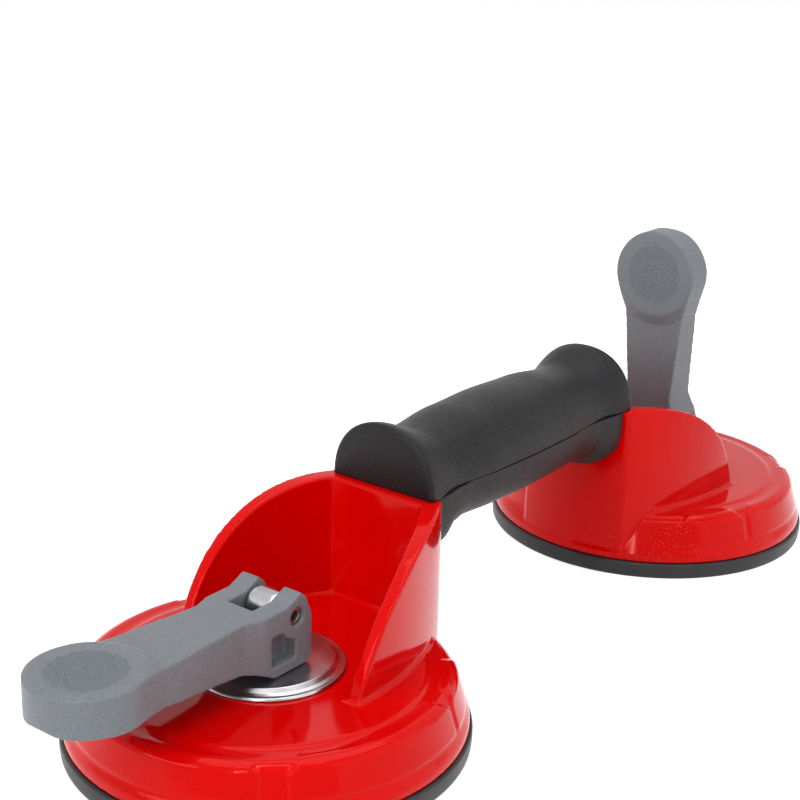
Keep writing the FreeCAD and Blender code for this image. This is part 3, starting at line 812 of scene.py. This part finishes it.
CUPS = (("near", NEAR_CUP, NEAR_PIN, STROKE, 0), ("far", FAR_CUP, FAR_PIN, 0.0, 180))
for side, cup, pin_height, lift, way in CUPS:
    place = shift(cup) @ twist(way, "Z")
    washer = smooth(moved(turned(f"{side}_washer", washer_profile()), place), 50)
    dress(washer, ZINC_PLATE, "zinc_steel", "body", f"{side}_dish_washer")
    bolt = moved(eye_bolt(f"{side}_eye", pin_height, SHANK_FOOT + lift), place)
    dress(bolt, ZINC_PLATE, "zinc_steel", f"{side}_bolt", f"{side}_eye_bolt")
    pad = smooth(moved(turned(f"{side}_pad", pad_profile(lift)), place), 35)
    dress(pad, PAD_RUBBER, "pad_rubber", "body", f"{side}_rubber_pad")


# ---- levers ------------------------------------------------------------------------------
def lever_side_outline():
    """Side of the lever in X-Z: heel, ears, arm, tip, and the arch under the arm."""
    end = -(TIP_CENTRE + TIP_RADIUS)
    return rounded([
        (END_REACH, -FLAT_REACH, HEEL_ROUND), (END_REACH, -1.0, 1.0), (4.0, 4.9, 0.4), (1.5, 7.1, 0.4),
        (-4.3, 4.4, 1.0), (-BLOCK_LENGTH, 4.2, 1.0), (-ARM_END, ARM_TOP, 3.0), (end, ARM_TOP, 0.8),
        (end, -4.2, 2.2), (-60, -5.0, 20), (-46, -7.6, 30), (-33, -9.2, 30), (-21.5, -10.9, 20),
        (-15, -12.8, 10), (-9.0, -FLAT_REACH, 1.2)])


def lever_plan_outline():
    """Plan of the lever in X-Y: block, arm flaring outwards, and a round tip that its sides touch."""
    corner = Vector((-ARM_END, ARM_HALF + ARM_FLARE))
    reach = Vector((corner.x + TIP_CENTRE, corner.y))
    angle = math.atan2(reach.y, reach.x) + math.acos(TIP_RADIUS / reach.length)
    tip = [(-TIP_CENTRE + TIP_RADIUS * math.cos(a), TIP_RADIUS * math.sin(a))
           for a in [angle + (2 * math.pi - 2 * angle) * k / 72 for k in range(73)]]
    head = rounded([(END_REACH + 2, BLOCK_HALF, 0), (-BLOCK_LENGTH, BLOCK_HALF, 0.8),
                    (-BLOCK_LENGTH - BLOCK_NECK, ARM_HALF, 3.0), (corner.x, corner.y, 1.5),
                    (*tip[0], 0)], closed=False)
    tail = [(x, -y) for x, y in head[::-1]]
    return head + tip[1:-1] + tail


def tip_crown():
    """Raised round top of the tip, conical at its edge."""
    low, high = TIP_RADIUS + TIP_SLOPE, TIP_RADIUS - 0.5
    foot = ARM_TOP - 4
    cone = rounded([(0, foot, 0), (low, foot, 0), (low, ARM_TOP, 0), (high, TIP_TOP, 0.8), (0, TIP_TOP, 0)])
    return moved(turned("crown", cone, segments=160), shift(-TIP_CENTRE))


def lever_window(side):
    """Recess in one cheek of the fork, less the boss round the pin, which stays."""
    low, high = sorted((side * (BLOCK_HALF - WINDOW_DEPTH), side * (BLOCK_HALF + 2)))
    recess = block("window", *WINDOW, low, high, *WINDOW_HEIGHTS)
    boss = round_bar("boss", BOSS_RADIUS, "Y", -BLOCK_HALF - 3, BLOCK_HALF + 3)
    return carved(recess, [boss])


def lever_body(name):
    """Moulded lever: its side and plan intersected, with its slot, pin hole, windows and crown."""
    reach = TIP_RADIUS + 2
    body = prism(name, lever_side_outline(), "Y", -reach, reach)
    plan = prism("plan", lever_plan_outline(), "Z", -20, 12)
    body = carved(body, [copy_of(plan, "plan_copy")], "INTERSECT")
    crown = carved(tip_crown(), [plan], "INTERSECT")
    tools = [block("slot", -SLOT_DEPTH, END_REACH + 3, -SLOT_HALF, SLOT_HALF, -20, 12),
             round_bar("pin_hole", PIN_RADIUS + 0.15, "Y", -14, 14), lever_window(1), lever_window(-1)]
    return cast(joined("lever", [carved(body, tools), crown]), voxel=0.38, passes=5, name=name)


def dot_field():
    """Tree that sets small domes on a hexagonal grid inside a circle."""
    tree = bpy.data.node_groups.new("dot_field", "GeometryNodeTree")
    for label, kind, value in (("Radius", "NodeSocketFloat", TEXTURE_RADIUS * MM),
                               ("Pitch", "NodeSocketFloat", DOT_PITCH * MM),
                               ("Dot", "NodeSocketFloat", DOT_RADIUS * MM),
                               ("Material", "NodeSocketMaterial", None)):
        socket = tree.interface.new_socket(label, in_out="INPUT", socket_type=kind)
        if value is not None:
            socket.default_value = value
    tree.interface.new_socket("Geometry", in_out="OUTPUT", socket_type="NodeSocketGeometry")
    nodes, links = tree.nodes, tree.links
    source, sink = nodes.new("NodeGroupInput"), nodes.new("NodeGroupOutput")

    def maths(operation, a, b=None):
        """Output of a maths node fed by sockets or plain numbers."""
        node = nodes.new("ShaderNodeMath")
        node.operation = operation
        for socket, value in zip(node.inputs, (a, b)):
            if value is None:
                continue
            if isinstance(value, (int, float)):
                socket.default_value = value
            else:
                links.new(value, socket)
        return node.outputs[0]

    radius, pitch, dot = (source.outputs[label] for label in ("Radius", "Pitch", "Dot"))
    reach = maths("CEIL", maths("DIVIDE", radius, pitch))
    columns = maths("ADD", maths("MULTIPLY", reach, 2), 3)
    total = maths("MULTIPLY", columns, columns)
    points = nodes.new("GeometryNodePoints")
    links.new(total, points.inputs["Count"])
    index = nodes.new("GeometryNodeInputIndex").outputs[0]
    row = maths("FLOOR", maths("DIVIDE", index, columns))
    column = maths("SUBTRACT", index, maths("MULTIPLY", row, columns))
    middle = maths("DIVIDE", maths("SUBTRACT", columns, 1), 2)
    stagger = maths("MULTIPLY", maths("MODULO", row, 2), 0.5)
    x = maths("MULTIPLY", maths("SUBTRACT", maths("ADD", column, stagger), middle), pitch)
    y = maths("MULTIPLY", maths("MULTIPLY", maths("SUBTRACT", row, middle), pitch), math.sqrt(0.75))
    spot = nodes.new("ShaderNodeCombineXYZ")
    links.new(x, spot.inputs[0])
    links.new(y, spot.inputs[1])
    links.new(spot.outputs[0], points.inputs["Position"])
    far = maths("SQRT", maths("ADD", maths("MULTIPLY", x, x), maths("MULTIPLY", y, y)))
    outside = maths("GREATER_THAN", far, maths("SUBTRACT", radius, dot))
    prune = nodes.new("GeometryNodeDeleteGeometry")
    prune.domain = "POINT"
    links.new(points.outputs[0], prune.inputs["Geometry"])
    links.new(outside, prune.inputs["Selection"])
    ball = nodes.new("GeometryNodeMeshIcoSphere")
    ball.inputs["Subdivisions"].default_value = 1
    links.new(dot, ball.inputs["Radius"])
    place = nodes.new("GeometryNodeInstanceOnPoints")
    place.inputs["Scale"].default_value = (1, 1, DOT_FLATNESS)
    links.new(prune.outputs[0], place.inputs["Points"])
    links.new(ball.outputs["Mesh"], place.inputs["Instance"])
    real = nodes.new("GeometryNodeRealizeInstances")
    links.new(place.outputs[0], real.inputs[0])
    finish = nodes.new("GeometryNodeSetMaterial")
    links.new(real.outputs[0], finish.inputs["Geometry"])
    links.new(source.outputs["Material"], finish.inputs["Material"])
    links.new(finish.outputs[0], sink.inputs[0])
    return tree


DOTS = dot_field()


def thumb_dots(name):
    """Field of dots on top of the lever's tip."""
    holder = new_object(name, [], [])
    step = holder.modifiers.new("dots", "NODES")
    step.node_group = DOTS
    for item in DOTS.interface.items_tree:
        if item.in_out == "INPUT" and item.name == "Material":
            step[item.identifier] = LEVER_PLASTIC
    done = settled(holder)
    moved(done, shift(-TIP_CENTRE, 0, TIP_TOP))
    return smooth(done, 60)


first_lever = lever_body("near_lever_body")
second_lever = copy_of(first_lever, "far_lever_body")
lever_places = (("near", first_lever, shift(NEAR_CUP, 0, NEAR_PIN)),
                ("far", second_lever, shift(FAR_CUP, 0, FAR_PIN) @ twist(180, "Z") @ twist(90, "Y")))
for side, body_piece, place in lever_places:
    rider = f"{side}_lever"
    moved(body_piece, place)
    dress(body_piece, LEVER_PLASTIC, "lever_plastic", rider, f"{side}_lever")
    dots = moved(thumb_dots(f"{side}_thumb_dots"), place)
    dress(dots, LEVER_PLASTIC, "lever_plastic", rider)
    pin = moved(spring_pin(f"{side}_spring_pin"), place)
    dress(pin, PIN_STEEL, "fastener_steel", rider, f"{side}_lever_pin")

HARDWARE = (("guide_bush", BUSH_PLASTIC), ("pad_insert_plate", ZINC_PLATE), ("lock_nut", PIN_STEEL))
for side in ("near", "far"):
    for part, material in HARDWARE:
        paint(frame["nodes"][f"{side}_{part}"].data, material)
paint(frame["nodes"]["grip_screws"].data, PIN_STEEL)


# ---- studio ------------------------------------------------------------------------------
FLOOR_GLOW = 0.6
AMBIENT = 0.4        # the background's strength as light; it shows at full strength


def background_rays(nodes, links):
    """1 for rays that show the background plainly: camera, glossy and transmission."""
    path = nodes.new("ShaderNodeLightPath")
    last = path.outputs["Is Camera Ray"]
    for name in ("Is Glossy Ray", "Is Transmission Ray"):
        most = nodes.new("ShaderNodeMath")
        most.operation = "MAXIMUM"
        links.new(last, most.inputs[0])
        links.new(path.outputs[name], most.inputs[1])
        last = most.outputs[0]
    return last


def studio_floor():
    """Pale floor that stays white to the camera and keeps the shadow."""
    half = 6000.0
    corners = [(-half, -half, 0), (half, -half, 0), (half, half, 0), (-half, half, 0)]
    floor = new_object("studio_floor", corners, [(0, 1, 2, 3)])
    material = bpy.data.materials.new("studio_white")
    material.use_nodes = True
    nodes, links = material.node_tree.nodes, material.node_tree.links
    shader = nodes["Principled BSDF"]
    shader.inputs["Base Color"].default_value = (0.9, 0.9, 0.9, 1)
    shader.inputs["Roughness"].default_value = 0.9
    shader.inputs["Specular IOR Level"].default_value = 0.0
    shader.inputs["Emission Color"].default_value = (1, 1, 1, 1)
    glow = nodes.new("ShaderNodeMath")
    glow.operation = "MULTIPLY"
    glow.inputs[1].default_value = FLOOR_GLOW
    links.new(background_rays(nodes, links), glow.inputs[0])
    links.new(glow.outputs[0], shader.inputs["Emission Strength"])
    floor.data.materials.append(material)


def studio_world():
    """White background that lights the object less strongly than it shows."""
    world = bpy.data.worlds.new("studio")
    bpy.context.scene.world = world
    world.use_nodes = True
    nodes, links = world.node_tree.nodes, world.node_tree.links
    sky = nodes["Background"]
    sky.inputs["Color"].default_value = (1, 1, 1, 1)
    level = nodes.new("ShaderNodeMapRange")
    level.inputs["To Min"].default_value = AMBIENT
    level.inputs["To Max"].default_value = 1.0
    links.new(background_rays(nodes, links), level.inputs["Value"])
    links.new(level.outputs["Result"], sky.inputs["Strength"])


def softbox(name, place, aim, width, height, power):
    """Rectangular lamp at a place, facing an aim, in metres and watts."""
    lamp = bpy.data.lights.new(name, "AREA")
    lamp.shape = "RECTANGLE"
    lamp.size = width
    lamp.size_y = height
    lamp.energy = power
    obj = bpy.data.objects.new(name, lamp)
    obj.location = place
    obj.rotation_euler = (Vector(aim) - Vector(place)).to_track_quat("-Z", "Y").to_euler()
    bpy.context.scene.collection.objects.link(obj)


def studio_camera():
    """Low three-quarter view over the near lever, along the grip."""
    azimuth, elevation, roll = (math.radians(v) for v in (37.04, 18.56, 1.67))
    aim = Vector((160.6, 154.5, 0.0)) * MM
    distance = 771.45 * MM
    level = math.cos(elevation)
    forward = Vector((math.cos(azimuth) * level, math.sin(azimuth) * level, -math.sin(elevation)))
    right = Vector((math.sin(azimuth), -math.cos(azimuth), 0.0))
    up = right.cross(forward)
    tilted_right = math.cos(roll) * right + math.sin(roll) * up
    tilted_up = -math.sin(roll) * right + math.cos(roll) * up
    data = bpy.data.cameras.new("studio_camera")
    data.sensor_width = 36.0
    data.lens = 73.226
    data.shift_x = -0.0158
    data.shift_y = 0.0021
    data.clip_start = 0.01
    camera = bpy.data.objects.new("studio_camera", data)
    turn = Matrix((tilted_right, tilted_up, -forward)).transposed().to_4x4()
    camera.matrix_world = Matrix.Translation(aim - forward * distance) @ turn
    bpy.context.scene.collection.objects.link(camera)
    bpy.context.scene.camera = camera


studio_floor()
studio_world()
softbox("right_box", (0.35, -1.2, 0.5), (0.0, 0.0, 0.03), 1.7, 1.3, 5.5)
softbox("front_box", (-1.3, 0.3, 0.6), (0.0, 0.0, 0.04), 0.7, 0.7, 6.5)
softbox("top_box", (0.1, 0.1, 1.3), (0.0, 0.0, 0.0), 1.2, 0.8, 6.0)
softbox("top_strip", (-0.45, -0.35, 1.1), (-0.05, 0.0, 0.03), 1.1, 0.05, 3.5)
softbox("side_strip", (-1.0, -0.45, 0.55), (-0.05, 0.0, 0.03), 0.05, 0.7, 2.0)
studio_camera()
bpy.context.scene.view_settings.view_transform = "Standard"
